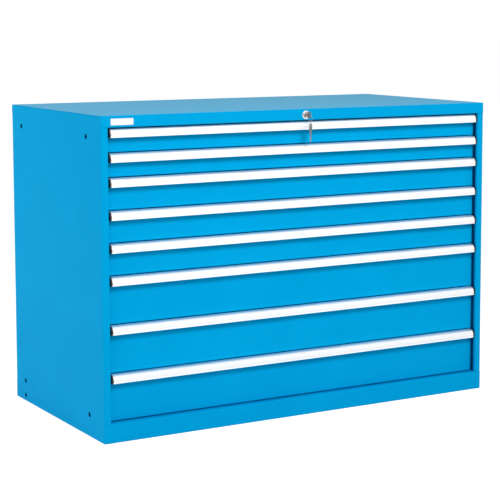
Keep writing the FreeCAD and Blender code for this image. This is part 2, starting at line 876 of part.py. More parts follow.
os.makedirs("parts", exist_ok=True)
left_panel = side_panel()
write_node("side_panel_left", left_panel)
write_node("side_panel_right", mirrored(left_panel))
write_node("top_panel", top_panel())
write_node("back_panel", back_panel())
write_node("base_panel", base_panel())
write_node("base_stiffeners", base_stiffeners())
write_node("slide_posts", slide_posts())
write_node("cabinet_rails", cabinet_rails())
write_node("label_plate", label_plate())
write_node("lock_housing", lock_housing())
write_node("lock_rod_bearing", lock_rod_bearing())
write_node("lock_bar_guides", lock_bar_guides())
write_node("lock_plug", lock_plug())
write_node("lock_rod", lock_rod())
write_node("lock_bar", lock_bar())
write_node("lock_key", lock_key())
write_node("key_ring", key_ring())
for number, (drawer_bottom, drawer_top) in enumerate(drawer_levels(), start=1):
    prefix = "drawer_" + str(number) + "_"
    write_node(prefix + "tray", drawer_tray(drawer_bottom, drawer_top))
    write_node(prefix + "front", drawer_front(drawer_bottom, drawer_top))
    write_node(prefix + "handle", [drawer_handle(drawer_top), label_strip(drawer_top)])
    write_node(prefix + "end_caps", drawer_end_caps(drawer_top))
    write_node(prefix + "slides", drawer_slides(drawer_bottom))
print("overall", cabinet_width, "x", cabinet_depth, "x", cabinet_height, "mm, bar lift", round(lock_lift, 2))
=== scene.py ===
# %% [markdown]
# A wide steel drawer cabinet, dressed for a photograph.
# The cabinet's pieces come in as a fixed frame: their sizes and places are settled.
# This lesson gives them finishes, softens their edges, and adds what a frame of
# plain solids leaves out: smooth handles, label strips, slotted trays, rollers.

# %% Load the cabinet
import json
import math

import bmesh
import bpy
from mathutils import Matrix, Vector

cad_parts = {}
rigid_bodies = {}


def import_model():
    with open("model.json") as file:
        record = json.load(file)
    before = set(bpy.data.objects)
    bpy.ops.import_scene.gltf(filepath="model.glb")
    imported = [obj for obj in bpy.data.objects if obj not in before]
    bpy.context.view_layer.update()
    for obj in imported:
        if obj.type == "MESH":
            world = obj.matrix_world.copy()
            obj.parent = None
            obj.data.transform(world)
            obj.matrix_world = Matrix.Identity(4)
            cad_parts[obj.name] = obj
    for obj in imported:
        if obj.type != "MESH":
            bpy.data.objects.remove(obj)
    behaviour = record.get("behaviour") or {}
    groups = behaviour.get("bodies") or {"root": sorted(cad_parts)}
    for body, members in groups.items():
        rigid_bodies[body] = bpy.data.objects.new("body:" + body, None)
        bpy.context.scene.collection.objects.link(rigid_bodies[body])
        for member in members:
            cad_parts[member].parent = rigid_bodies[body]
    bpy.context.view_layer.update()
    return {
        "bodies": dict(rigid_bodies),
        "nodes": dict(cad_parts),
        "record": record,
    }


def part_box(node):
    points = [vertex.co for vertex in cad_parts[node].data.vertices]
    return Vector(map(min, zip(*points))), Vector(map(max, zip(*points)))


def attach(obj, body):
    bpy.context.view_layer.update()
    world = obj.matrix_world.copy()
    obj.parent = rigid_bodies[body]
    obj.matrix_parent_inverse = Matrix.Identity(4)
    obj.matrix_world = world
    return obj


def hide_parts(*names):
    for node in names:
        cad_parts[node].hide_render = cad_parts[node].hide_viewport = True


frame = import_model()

# %% [markdown]
# All lengths in Blender are metres, while a cabinet maker thinks in millimetres.
# One named unit keeps the sizes below readable. The drawers are counted from the
# record's bodies, so the lesson never types their number.

# %% Units and drawer numbers
MM = 0.001
drawer_bodies = [name for name in frame["bodies"] if name.startswith("drawer_")]
drawer_numbers = sorted(int(name.split("_")[1]) for name in drawer_bodies)
nodes = frame["nodes"]
print(len(nodes), "packed nodes,", len(drawer_numbers), "drawers")

# %% [markdown]
# The paints' colours are written as they look on a screen, 0 to 255. Light is reckoned
# in linear values, so the screen's own curve is undone first. The other finishes give
# linear values at once, as the share of light that they send back.

# %% Screen colours
straight_end, straight_slope = 0.04045, 12.92
curve_offset, curve_power = 0.055, 2.4


def screen_colour(red, green, blue):
    """A screen colour as the linear RGBA value that a shader expects."""
    linear = []
    for channel in (red, green, blue):
        share = channel / 255
        curved = ((share + curve_offset) / (1 + curve_offset)) ** curve_power
        linear.append(share / straight_slope if share <= straight_end else curved)
    return (*linear, 1.0)


print("half grey is", round(screen_colour(128, 128, 128)[0], 3), "in linear light")

# %% [markdown]
# Finishes, floor and world are networks of shader nodes. One call adds a node and fills
# its inputs: an output of another node is wired to it, and anything else is its value.

# %% Helper for shader nodes
def add_node(tree, kind, inputs=None):
    node = tree.nodes.new(kind)
    for key, value in (inputs or {}).items():
        if isinstance(value, bpy.types.NodeSocket):
            tree.links.new(value, node.inputs[key])
        else:
            node.inputs[key].default_value = value
    return node


print("nodes can be added")

# %% [markdown]
# One class knows the few moves that every finish here is made with: noise of a stated
# size, a colour and a roughness that wander with it, and bump. Noise hovers round one
# half, so it is spread out before use.

# %% Helper for finishes
noise_low = 0.3
noise_high = 0.7


class Finish:
    """A material, with short ways to set its shader and to lead nodes into it."""

    def __init__(self, name, **settings):
        self.material = bpy.data.materials.new(name)
        self.material.use_nodes = True
        self.tree = self.material.node_tree
        self.shader = self.tree.nodes["Principled BSDF"]
        for socket, value in settings.items():
            self.shader.inputs[socket.replace("_", " ")].default_value = value
        self.place = add_node(self.tree, "ShaderNodeTexCoord").outputs["Object"]

    def link(self, output, socket):
        self.tree.links.new(output, self.shader.inputs[socket])

    def noise(self, size, detail=2.0, stretch=(1, 1, 1)):
        """Cloudy noise whose blotches are about size across, drawn out along an axis."""
        squeeze = [1 / times for times in stretch]
        mapping = add_node(self.tree, "ShaderNodeMapping", {"Vector": self.place, "Scale": squeeze})
        inputs = {"Vector": mapping.outputs[0], "Scale": 1 / size, "Detail": detail}
        return add_node(self.tree, "ShaderNodeTexNoise", inputs).outputs["Fac"]

    def spread(self, noise, low, high):
        """Noise spread out to run from low to high."""
        limits = {"From Min": noise_low, "From Max": noise_high, "To Min": low, "To Max": high}
        return add_node(self.tree, "ShaderNodeMapRange", {"Value": noise, **limits}).outputs[0]

    def colour(self, noise, first, second):
        """Lets the colour wander between two."""
        mix = add_node(self.tree, "ShaderNodeMix")
        mix.data_type = "RGBA"
        self.tree.links.new(self.spread(noise, 0, 1), mix.inputs["Factor"])
        mix.inputs["A"].default_value = first
        mix.inputs["B"].default_value = second
        self.link(mix.outputs["Result"], "Base Color")

    def roughness(self, noise, low, high):
        """Lets the roughness wander between two values."""
        self.link(self.spread(noise, low, high), "Roughness")

    def bump(self, height, depth, below=None):
        """Small relief, depth high. below is an earlier relief to lay this one over."""
        inputs = {"Height": height, "Distance": depth}
        if below:
            inputs["Normal"] = below
        return add_node(self.tree, "ShaderNodeBump", inputs).outputs[0]


print("finish helper ready")

# %% [markdown]
# Most finishes here need one noise for the colour, one for the gloss and one for the
# relief, and differ only in sizes and values. One function makes all of those.

# %% Helper for even finishes
def even_finish(name, tones, clouds, roughness, patches, relief, depth, **settings):
    """A finish whose colour, gloss and relief each wander with a noise of their own."""
    finish = Finish(name, **settings)
    finish.colour(finish.noise(**clouds), *tones)
    finish.roughness(finish.noise(**patches), *roughness)
    finish.link(finish.bump(finish.noise(**relief), depth), "Normal")
    return finish.material


print("even finishes ready")

# %% [markdown]
# Powder coat is sprayed dry and melted on. It lies a little wavy, like orange peel,
# with a fine grain on top, and its colour drifts slightly over a large sheet. The blue
# is very pure, so its gloss is almost off: a white reflection would grey it. Dust on
# the top sheet veils the blue at a low angle, which is what sheen is made for, and its
# green tint keeps the veiled blue from turning violet.

# %% Powder coat, blue for the cabinet and grey for the trays
coat_gloss = 0.008
roughness_swing = 0.04
dust_softness = 0.35
dust_tint = (0.66, 1.0, 0.70, 1)


def powder_coat(name, tones, roughness, dust=0.0):
    finish = Finish(name, Specular_IOR_Level=coat_gloss, Sheen_Weight=dust,
                    Sheen_Roughness=dust_softness, Sheen_Tint=dust_tint)
    finish.colour(finish.noise(size=180 * MM, detail=3.0), *tones)
    finish.roughness(finish.noise(size=9 * MM), roughness - roughness_swing, roughness + roughness_swing)
    peel = finish.bump(finish.noise(size=2.2 * MM), depth=0.012 * MM)
    grain = finish.bump(finish.noise(size=0.5 * MM), depth=0.006 * MM, below=peel)
    finish.link(grain, "Normal")
    return finish.material


blue_tones = screen_colour(0, 159, 216), screen_colour(1, 163, 220)
grey_tones = screen_colour(172, 176, 180), screen_colour(178, 182, 185)
blue_coat = powder_coat("blue_powder_coat", blue_tones, roughness=0.42)
dusty_coat = powder_coat("dusty_blue_powder_coat", blue_tones, roughness=0.42, dust=0.19)
grey_coat = powder_coat("grey_powder_coat", grey_tones, roughness=0.46)
print("made", blue_coat.name, dusty_coat.name, "and", grey_coat.name)

# %% [markdown]
# The handle strips are drawn aluminium with a satin skin. Drawing leaves hair lines
# along the strip, so the noise is stretched far along X and short across it. The same
# lines give the gloss and the relief.

# %% Satin aluminium
hair_lines = {"size": 0.5 * MM, "detail": 3.0, "stretch": (220, 1, 1)}
aluminium = even_finish(
    "satin_aluminium", Metallic=1.0,
    tones=((0.86, 0.87, 0.88, 1), (0.92, 0.92, 0.93, 1)), clouds={"size": 60 * MM, "stretch": (4, 1, 1)},
    roughness=(0.42, 0.54), patches=hair_lines, relief=hair_lines, depth=0.008 * MM)
print("made", aluminium.name)

# %% [markdown]
# A white paper strip lies in the groove of each handle under a clear cover. The
# cover shows as gloss over the white, so a clear coat on a matt white does for both.
# Fibre noise keeps the paper from looking like bare plastic, and long waves in the
# coat alone show that the cover isn't quite flat.

# %% Covered white paper
paper_tones = (0.90, 0.91, 0.92, 1), (0.94, 0.94, 0.945, 1)


def covered_paper():
    finish = Finish("covered_label_paper", Roughness=0.6, Specular_IOR_Level=0.3,
                    Coat_Weight=1.0, Coat_Roughness=0.05, Coat_IOR=1.49)
    finish.colour(finish.noise(size=1.2 * MM, detail=4.0), *paper_tones)
    waves = finish.noise(size=40 * MM, stretch=(5, 1, 1))
    finish.link(finish.bump(waves, depth=0.05 * MM), "Coat Normal")
    return finish.material


label_paper = covered_paper()
print("made", label_paper.name)

# %% [markdown]
# The small plate on the top rail is enamelled: glossier than paper and a little bluer.
# Enamel flows as it is fired, so its gloss and its surface both wander slightly.

# %% White enamel
plate_enamel = even_finish(
    "white_enamel", Specular_IOR_Level=0.5,
    tones=((0.84, 0.86, 0.90, 1), (0.88, 0.89, 0.92, 1)), clouds={"size": 14 * MM},
    roughness=(0.16, 0.24), patches={"size": 3 * MM}, relief={"size": 1.6 * MM}, depth=0.006 * MM)
print("made", plate_enamel.name)

# %% [markdown]
# Moulded plastic takes the eroded texture of its mould: tiny even pits. The end caps
# and the guide blocks of the lock bar share it, in two depths of black. Rubbed patches
# are a little lighter than the rest.

# %% Moulded plastic
plain_share = (1.0, 1.0, 1.1)
rubbed_share = (1.4, 1.4, 1.5)


def moulded_plastic(name, tone, pit_size):
    tones = [(*(tone * share for share in shares), 1.0) for shares in (plain_share, rubbed_share)]
    return even_finish(name, Specular_IOR_Level=0.4, tones=tones, clouds={"size": 12 * MM},
                       roughness=(0.44, 0.56), patches={"size": 2 * MM},
                       relief={"size": pit_size}, depth=0.02 * MM)


cap_plastic = moulded_plastic("black_cap_plastic", tone=0.010, pit_size=0.35 * MM)
guide_plastic = moulded_plastic("dark_guide_plastic", tone=0.030, pit_size=0.6 * MM)
print("made", cap_plastic.name, "and", guide_plastic.name)

# %% [markdown]
# Slides and lock works are zinc plated: a cool grey metal with cloudy patches that
# differ in polish, and rolling lines along the strip. The lines run along Y, which
# is the way the rails were rolled.

# %% Zinc plate
zinc = even_finish(
    "zinc_plate", Metallic=1.0,
    tones=((0.56, 0.58, 0.61, 1), (0.70, 0.70, 0.69, 1)), clouds={"size": 22 * MM, "detail": 4.0},
    roughness=(0.24, 0.42), patches={"size": 7 * MM, "detail": 3.0},
    relief={"size": 0.6 * MM, "stretch": (1, 160, 1)}, depth=0.01 * MM)
print("made", zinc.name)

# %% [markdown]
# The lock is polished nickel. Polish is a low roughness, and a faint haze in colour and
# gloss keeps it from looking like a mirror.

# %% Polished nickel
nickel = even_finish(
    "polished_nickel", Metallic=1.0,
    tones=((0.74, 0.72, 0.69, 1), (0.82, 0.81, 0.79, 1)), clouds={"size": 5 * MM, "detail": 3.0},
    roughness=(0.10, 0.20), patches={"size": 2.5 * MM}, relief={"size": 3 * MM}, depth=0.004 * MM)
print("made", nickel.name)

# %% [markdown]
# The keys are the same metal, dulled by pockets: a darker and rougher tone with fine
# scratches. Scratches are a noise stretched hard along one axis, laid twice at right
# angles, the second over the first.

# %% Worn key metal
key_tones = (0.20, 0.18, 0.16, 1), (0.38, 0.35, 0.32, 1)


def worn_key_metal():
    finish = Finish("worn_key_metal", Metallic=1.0)
    finish.colour(finish.noise(size=6 * MM, detail=4.0), *key_tones)
    finish.roughness(finish.noise(size=1.5 * MM, detail=3.0), low=0.26, high=0.46)
    first = finish.bump(finish.noise(size=0.3 * MM, stretch=(1, 40, 1)), depth=0.015 * MM)
    second = finish.bump(finish.noise(size=0.4 * MM, stretch=(1, 1, 30)), depth=0.012 * MM, below=first)
    finish.link(second, "Normal")
    return finish.material


key_metal = worn_key_metal()
print("made", key_metal.name)

# %% [markdown]
# Folded sheet and sawn metal never have knife edges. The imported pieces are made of
# triangles, so one modifier welds their corners, one merges flat triangles into whole
# faces, and a bevel rounds what is still a sharp edge. A last one bends the shading
# towards the large faces, so that these stay flat.

# %% Helper for soft edges
weld_distance = 0.02 * MM
flat_angle = math.radians(0.5)
sharp_angle = math.radians(32)
rounding_steps = 2


def soften(piece, rounding, welded=True):
    """Rounds the sharp edges of a piece and keeps its large faces flat."""
    piece.data.shade_smooth()
    if welded:
        weld = piece.modifiers.new("weld", "WELD")
        weld.merge_threshold = weld_distance
        flat = piece.modifiers.new("merge_flat", "DECIMATE")
        flat.decimate_type = "DISSOLVE"
        flat.angle_limit = flat_angle
    rounded = piece.modifiers.new("round_edges", "BEVEL")
    rounded.width = rounding
    rounded.segments = rounding_steps
    rounded.limit_method = "ANGLE"
    rounded.angle_limit = sharp_angle
    shading = piece.modifiers.new("flat_shading", "WEIGHTED_NORMAL")
    shading.keep_sharp = False


print("edges sharper than", round(math.degrees(sharp_angle)), "degrees get rounded")

# %% [markdown]
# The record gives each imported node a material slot, and the slot picks its finish.
# Only the top sheet lies open to dust, so it has its own. The shading that came with a
# node was made for sharp edges, so it is dropped first.

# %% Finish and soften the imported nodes
finish_of_slot = {
    "cabinet_paint": blue_coat,
    "tray_paint": grey_coat,
    "handle_aluminium": aluminium,
    "end_cap_black": cap_plastic,
    "slide_zinc": zinc,
    "lock_nickel": nickel,
    "key_steel": key_metal,
    "plate_white": plate_enamel,
    "guide_plastic": guide_plastic,
}
finish_of_node = {"top_panel": dusty_coat}
edge_rounding = 0.3 * MM
edge_rounding_of_node = {"lock_housing": 0.9 * MM, "lock_plug": 0.4 * MM, "label_plate": 0.2 * MM}
slot_of_node = {part["node"]: part["material_slot"] for part in frame["record"]["subparts"]}
for name, node in nodes.items():
    stored_normals = node.data.attributes.get("custom_normal")
    if stored_normals:
        node.data.attributes.remove(stored_normals)
    node.data.materials.clear()
    slot = slot_of_node[name]
    node.data.materials.append(finish_of_node.get(name, finish_of_slot[slot]))
    soften(node, edge_rounding_of_node.get(name, edge_rounding))
print("softened", len(nodes), "nodes")

# %% [markdown]
# New pieces are built from outlines. An outline drawn along a line is a prism, which
# suits anything rolled, drawn or folded. Its corners are put down twice, at the start
# and at the end, and joined with faces.

# %% Helper for prisms
def prism(mesh, outline, place, start, end):
    """Adds a solid: the outline's (u, v) corners, drawn out from start to end."""
    first = [mesh.verts.new(place(u, v, start)) for u, v in outline]
    last = [mesh.verts.new(place(u, v, end)) for u, v in outline]
    mesh.faces.new(first)
    mesh.faces.new(last[::-1])
    for index in range(len(outline)):
        following = (index + 1) % len(outline)
        mesh.faces.new((first[index], last[index], last[following], first[following]))


def along_x(u, v, t):
    """Section parallel to the cabinet's sides, drawn out across the width."""
    return Vector((t, u, v))


def along_y(u, v, t):
    """Section parallel to the front, drawn out towards the back."""
    return Vector((u, t, v))


print("prisms can run across the cabinet or towards its back")

# %% [markdown]
# An outline turned round an axis suits rollers, screws and the lock. Each corner of
# the outline becomes a ring of points, or a single point where it lies on the axis,
# and rings that follow each other are joined with faces.

# %% Helper for turned shapes
def turned(mesh, outline, centre, axis, steps=40):
    """Adds a solid: (radius, distance along) corners, turned round an axis."""
    axis = Vector(axis)
    side = axis.orthogonal().normalized()
    other = axis.cross(side)
    rings = []
    for radius, along in outline:
        if radius == 0:
            rings.append([mesh.verts.new(centre + axis * along)])
            continue
        ring = []
        for step in range(steps):
            angle = 2 * math.pi * step / steps
            spoke = side * math.cos(angle) + other * math.sin(angle)
            ring.append(mesh.verts.new(centre + axis * along + spoke * radius))
        rings.append(ring)
    for lower, upper in zip(rings, rings[1:]):
        for step in range(steps):
            after = (step + 1) % steps
            corners = [lower[step % len(lower)], lower[after % len(lower)],
                       upper[after % len(upper)], upper[step % len(upper)]]
            mesh.faces.new(list(dict.fromkeys(corners)))


print("turned shapes ready")

# %% [markdown]
# A finished mesh becomes a piece in one place: it gets a finish and rides on the body
# that it moves with.

# %% Helper for new pieces
def new_piece(name, mesh, finish, body, rounding=0.0):
    """Turns a finished mesh into a piece that moves with a body of the cabinet."""
    bmesh.ops.recalc_face_normals(mesh, faces=mesh.faces)
    data = bpy.data.meshes.new(name)
    mesh.to_mesh(data)
    mesh.free()
    data.materials.append(finish)
    piece = bpy.data.objects.new(name, data)
    bpy.context.scene.collection.objects.link(piece)
    if rounding:
        soften(piece, rounding, welded=False)
    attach(piece, body)
    return piece


# %% [markdown]
# The handle is the piece that the eye follows: a hooded strip whose face bulges
# forward and tucks under to a lip for the fingers. Its face is an arc whose deepest
# point and top edge are known, so one circle gives the depth at every height.

# %% The handle's bulging face
handle_depth = 24.5 * MM
handle_top_depth = 10 * MM
handle_bulge_rise = 9 * MM
sample_low, sample_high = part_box("drawer_1_handle")
handle_height = sample_high.z - sample_low.z
circle_rise = handle_height - handle_bulge_rise
circle_depth = ((handle_depth ** 2 - handle_top_depth ** 2 - circle_rise ** 2)
                / (2 * (handle_depth - handle_top_depth)))
circle_radius = handle_depth - circle_depth


def bulge(low, high, inset, steps):
    """Points up the handle's face from one height to another, (depth, height)."""
    points = []
    for step in range(steps + 1):
        height = low + (high - low) * step / steps
        reach = math.sqrt((circle_radius - inset) ** 2 - (height - handle_bulge_rise) ** 2)
        points.append((circle_depth + reach, height))
    return points


print("face radius", round(circle_radius / MM, 2), "mm")

# %% [markdown]
# The outline goes round the strip once: up the face with its groove for the label,
# over the top, down the short leg against the drawer, and back inside the hood. Where
# the groove steps in, two arcs with different insets simply follow each other.

# %% Handle strips
handle_wall = 2 * MM
handle_leg = 12 * MM
handle_lip_setback = 14 * MM
handle_edge = 0.25 * MM
groove_depth = 0.8 * MM
groove_margin = 4 * MM
margin_steps = 4
groove_steps = 16
hood_steps = 12


def handle_outline():
    tall = handle_height
    groove_low = groove_margin
    groove_high = tall - groove_margin
    outline = bulge(0, groove_low, 0, margin_steps)
    outline += bulge(groove_low, groove_high, groove_depth, groove_steps)
    outline += bulge(groove_high, tall, 0, margin_steps)
    outline += [(0, tall), (0, tall - handle_leg), (handle_wall, tall - handle_leg),
                (handle_wall, tall - handle_wall)]
    outline += bulge(handle_wall, tall - handle_wall, handle_wall, hood_steps)[::-1]
    outline += [(handle_lip_setback, handle_wall), (handle_lip_setback, 0)]
    return outline


def on_front(outline, low, high):
    """A (depth, height) outline, set against the drawer front behind a handle's box."""
    return [(high.y - depth, low.z + height) for depth, height in outline]


for number in drawer_numbers:
    node = f"drawer_{number}_handle"
    low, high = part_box(node)
    strip = bmesh.new()
    prism(strip, on_front(handle_outline(), low, high), along_x, low.x, high.x)
    piece = new_piece(f"handle_strip_{number}", strip, aluminium, f"drawer_{number}",
                      handle_edge)
    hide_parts(node)
print("handle strips:", len(drawer_numbers), "of", len(handle_outline()), "corners each")

# %% [markdown]
# The label strip fills the groove almost flush. It follows the same arc with two
# insets, so it hugs the handle at every height.

# %% Label strips
label_back_inset = 0.7 * MM
label_front_inset = 0.1 * MM
label_edge_gap = 0.2 * MM
label_end_gap = 1.5 * MM
label_edge = 0.12 * MM
for number in drawer_numbers:
    node = f"drawer_{number}_handle"
    low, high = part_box(node)
    bottom = groove_margin + label_edge_gap
    top = handle_height - groove_margin - label_edge_gap
    outline = bulge(bottom, top, label_front_inset, groove_steps)
    outline += bulge(bottom, top, label_back_inset, groove_steps)[::-1]
    label = bmesh.new()
    prism(label, on_front(outline, low, high), along_x, low.x + label_end_gap, high.x - label_end_gap)
    piece = new_piece(f"label_strip_{number}", label, label_paper, f"drawer_{number}",
                      label_edge)
    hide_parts(node)
print("label strips:", len(drawer_numbers))

# %% [markdown]
# Black caps close the ends of each strip. They are moulded, so their edges are
# rounder than the metal's, and their outer face is dished a little inside a rim.

# %% End caps
cap_length = 5 * MM
cap_rim = 1.6 * MM
cap_dish = 0.5 * MM
cap_edge = 0.35 * MM
cap_steps = 18
cap_outline = bulge(0, handle_height, 0, cap_steps) + [(0, handle_height), (0, 0)]
for number in drawer_numbers:
    node = f"drawer_{number}_end_caps"
    low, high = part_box(node)
    caps = bmesh.new()
    for inner, outer in ((low.x + cap_length, low.x), (high.x - cap_length, high.x)):
        prism(caps, on_front(cap_outline, low, high), along_x, inner, outer)
    outer_faces = [face for face in caps.faces
                   if all(abs(abs(vert.co.x) - high.x) < weld_distance for vert in face.verts)]
    bmesh.ops.recalc_face_normals(caps, faces=caps.faces)
    bmesh.ops.inset_region(caps, faces=outer_faces, thickness=cap_rim, depth=-cap_dish)
    piece = new_piece(f"handle_caps_{number}", caps, cap_plastic, f"drawer_{number}",
                      cap_edge)
    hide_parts(node)
print("pairs of end caps:", len(drawer_numbers))

# %% [markdown]
# The trays take dividers, so their walls are punched with narrow slots at one pitch.
# A wall with many holes is easiest as a grid of cells: each cell is metal or open,
# and a skin is laid over the metal ones, front, back and round every opening.

# %% Punched sheet
def cuts(start, end, openings):
    """Places where cells begin and end along a line, and a mark for each open cell."""
    places = [start]
    for low, high in openings:
        places += [low, high]
    return places + [end], [False, True] * len(openings) + [False]


def punched_sheet(mesh, across, up, place, thickness):
    """Adds a sheet, open where an open cell across meets an open cell up."""
    (columns, open_columns), (rows, open_rows) = across, up
    known = {}

    def corner(i, j, side):
        if (i, j, side) not in known:
            known[i, j, side] = mesh.verts.new(place(columns[i], rows[j], side * thickness))
        return known[i, j, side]

    def is_metal(i, j):
        inside = 0 <= i < len(open_columns) and 0 <= j < len(open_rows)
        return inside and not (open_columns[i] and open_rows[j])

    for i in range(len(open_columns)):
        for j in range(len(open_rows)):
            if not is_metal(i, j):
                continue
            around = ((i, j), (i + 1, j), (i + 1, j + 1), (i, j + 1))
            beside = ((i, j - 1), (i + 1, j), (i, j + 1), (i - 1, j))
            for side in (0, 1):
                mesh.faces.new([corner(a, b, side) for a, b in around])
            for index, neighbour in enumerate(beside):
                if not is_metal(*neighbour):
                    first, second = around[index], around[(index + 1) % len(around)]
                    mesh.faces.new((corner(*first, 0), corner(*second, 0),
                                    corner(*second, 1), corner(*first, 1)))


print("punched sheet ready")

# %% [markdown]
# The slots keep clear of the floor and of the rim, and a tall wall has two rows.
# Their pitch is the maker's divider unit. The row is centred, so that both ends of
# a wall look alike.

# %% Slots for the dividers
slot_pitch = 17 * MM
slot_width = 1.8 * MM
slot_margin = 12 * MM
slot_row_height = 40 * MM
slot_row_gap = 14 * MM


def slots_along(start, end):
    """Slots at one pitch, centred between two corners."""
    count = int((end - start) / slot_pitch)
    first = (start + end - (count - 1) * slot_pitch) / 2
    middles = [first + step * slot_pitch for step in range(count)]
    return [(middle - slot_width / 2, middle + slot_width / 2) for middle in middles]


def slot_rows(low, high):
    """One row of slots in a low wall, and two in a tall one."""
    room = high - low - 2 * slot_margin
    count = 2 if room > 2 * slot_row_height else 1
    tall = (room - (count - 1) * slot_row_gap) / count
    starts = [low + slot_margin + row * (tall + slot_row_gap) for row in range(count)]
    return [(start, start + tall) for start in starts]


print("slot pitch", round(slot_pitch / MM), "mm")

# %% [markdown]
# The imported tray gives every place. Its box ends at its rails on both sides and at
# the lock lug behind, so the walls lie that much further in. All four are punched
# with the same rows, and a plain floor closes them below.

# %% Tray walls and floor
tray_sheet = 1.2 * MM
rail_reach = 11.3 * MM
lug_reach = 19 * MM


def tray_box(number):
    """Lowest and highest corner of a tray's four walls."""
    box_low, box_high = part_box(f"drawer_{number}_tray")
    back = box_high.y - lug_reach
    return (Vector((box_low.x + rail_reach, box_low.y, box_low.z)),
            Vector((box_high.x - rail_reach, back, box_high.z)))


def tray_walls(mesh, low, high):
    """Adds the floor and the four punched walls between two corners."""
    rows = cuts(low.z, high.z, slot_rows(low.z, high.z))
    depthwise = cuts(low.y, high.y, slots_along(low.y, high.y))
    left, right = low.x + tray_sheet, high.x - tray_sheet
    widthwise = cuts(left, right, slots_along(left, right))
    for x, inward in ((low.x, 1), (high.x, -1)):
        punched_sheet(mesh, depthwise, rows, lambda u, v, t: Vector((x + inward * t, u, v)), tray_sheet)
    for y, inward in ((low.y, 1), (high.y, -1)):
        punched_sheet(mesh, widthwise, rows, lambda u, v, t: Vector((u, y + inward * t, v)), tray_sheet)
    floor = [(left, low.z), (right, low.z), (right, low.z + tray_sheet), (left, low.z + tray_sheet)]
    prism(mesh, floor, along_y, low.y + tray_sheet, high.y - tray_sheet)


print("tray sheet", round(tray_sheet / MM, 1), "mm thick")

# %% [markdown]
# The rim turns out and down into a small hem, which stiffens the edge and is kind to
# the hands. It runs along both sides and the back. In front the drawer's own face
# stands against the tray, so there is none.

# %% Tray rims, and the finished trays
tray_rim = 8 * MM
tray_hem = 4 * MM


def hem_outline(edge, outward, top):
    """Section of the rim: out from the wall's edge, then down into the hem."""
    out = edge + outward * tray_rim
    inner = out - outward * tray_sheet
    return [(edge, top), (out, top), (out, top - tray_hem), (inner, top - tray_hem),
            (inner, top - tray_sheet), (edge, top - tray_sheet)]


for number in drawer_numbers:
    low, high = tray_box(number)
    tray = bmesh.new()
    tray_walls(tray, low, high)
    for edge, outward in ((low.x, -1), (high.x, 1)):
        prism(tray, hem_outline(edge, outward, high.z), along_y, low.y, high.y)
    prism(tray, hem_outline(high.y, 1, high.z), along_x, low.x - tray_rim, high.x + tray_rim)
    piece = new_piece(f"slotted_tray_{number}", tray, grey_coat, f"drawer_{number}")
    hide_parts(f"drawer_{number}_tray")
print("slotted trays:", len(drawer_numbers))

# %% [markdown]
# Each tray wall carries its own rail, an open channel in which the rollers travel.
# The lock lug behind is a bent strip on a foot: it reaches back over the hook of the
# lock bar and turns down. One closed section each, drawn out, is the whole shape.

# %% Sections of the drawer rail and of the lock lug
rail_height = 31.6 * MM
rail_sheet = 1.5 * MM
lug_sheet = 2 * MM
lug_lip = 12 * MM
lug_foot_drop = 14 * MM


def rail_outline(web, reach, low):
    """Section of an open channel: the web at one place, the flanges out to another."""
    inner = web + math.copysign(rail_sheet, reach - web)
    top = low + rail_height
    return [(web, low), (reach, low), (reach, low + rail_sheet), (inner, low + rail_sheet),
            (inner, top - rail_sheet), (reach, top - rail_sheet), (reach, top), (web, top)]


def lug_outline(wall, end, top):
    """Side view of a lug: foot on the wall, arm to the back, tongue down."""
    return [(wall, top - lug_foot_drop), (wall, top), (end, top), (end, top - lug_lip),
            (end - lug_sheet, top - lug_lip), (end - lug_sheet, top - lug_sheet),
            (wall + lug_sheet, top - lug_sheet), (wall + lug_sheet, top - lug_foot_drop)]


print("drawer rails", round(rail_height / MM, 1), "mm tall")

# %% [markdown]
# Both are zinc plated while the tray is painted, so they are pieces of their own. The
# rail is a little shorter than its wall at both ends.

# %% Drawer rails and lock lugs
rail_front_step = 1.2 * MM
rail_rear_gap = 13.2 * MM
lug_width = 24 * MM
lug_rise = 44 * MM
strip_edge = 0.25 * MM
for number in drawer_numbers:
    node = f"drawer_{number}_tray"
    low, high = tray_box(number)
    box_low, box_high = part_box(node)
    rails = bmesh.new()
    for wall, reach in ((low.x, box_low.x), (high.x, box_high.x)):
        outline = rail_outline(wall, reach, low.z)
        prism(rails, outline, along_y, low.y + rail_front_step, high.y - rail_rear_gap)
    lug = bmesh.new()
    outline = lug_outline(high.y, box_high.y, low.z + lug_rise)
    prism(lug, outline, along_x, -lug_width / 2, lug_width / 2)
    for name, mesh in (("drawer_rails", rails), ("lock_lug", lug)):
        piece = new_piece(f"{name}_{number}", mesh, zinc, f"drawer_{number}", strip_edge)
        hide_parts(node)
print("pairs of drawer rails, and lugs:", len(drawer_numbers))

# %% [markdown]
# Screws hold each rail to its wall. Their low domed heads show inside the tray, in
# the plain strip below the slots. One profile turned round its axis makes a head.

# %% Screw heads in the trays
screw_radius = 2.8 * MM
screw_height = 1.1 * MM
screw_rise = 6.5 * MM
screw_setback = 48 * MM
screw_sides = 16
screws_per_wall = 4
dome_shares = ((0, 0), (1.0, 0.0), (1.0, 0.3), (0.84, 0.7), (0.5, 0.93), (0, 1.0))
dome = [(radius * screw_radius, rise * screw_height) for radius, rise in dome_shares]
for number in drawer_numbers:
    low, high = tray_box(number)
    screws = bmesh.new()
    span = high.y - low.y - 2 * screw_setback
    for step in range(screws_per_wall):
        y = low.y + screw_setback + span * step / (screws_per_wall - 1)
        for x, inward in ((low.x + tray_sheet, 1), (high.x - tray_sheet, -1)):
            centre = Vector((x, y, low.z + screw_rise))
            turned(screws, dome, centre, (inward, 0, 0), steps=screw_sides)
    new_piece(f"rail_screws_{number}", screws, zinc, f"drawer_{number}")
print("screws in each tray:", 2 * screws_per_wall)

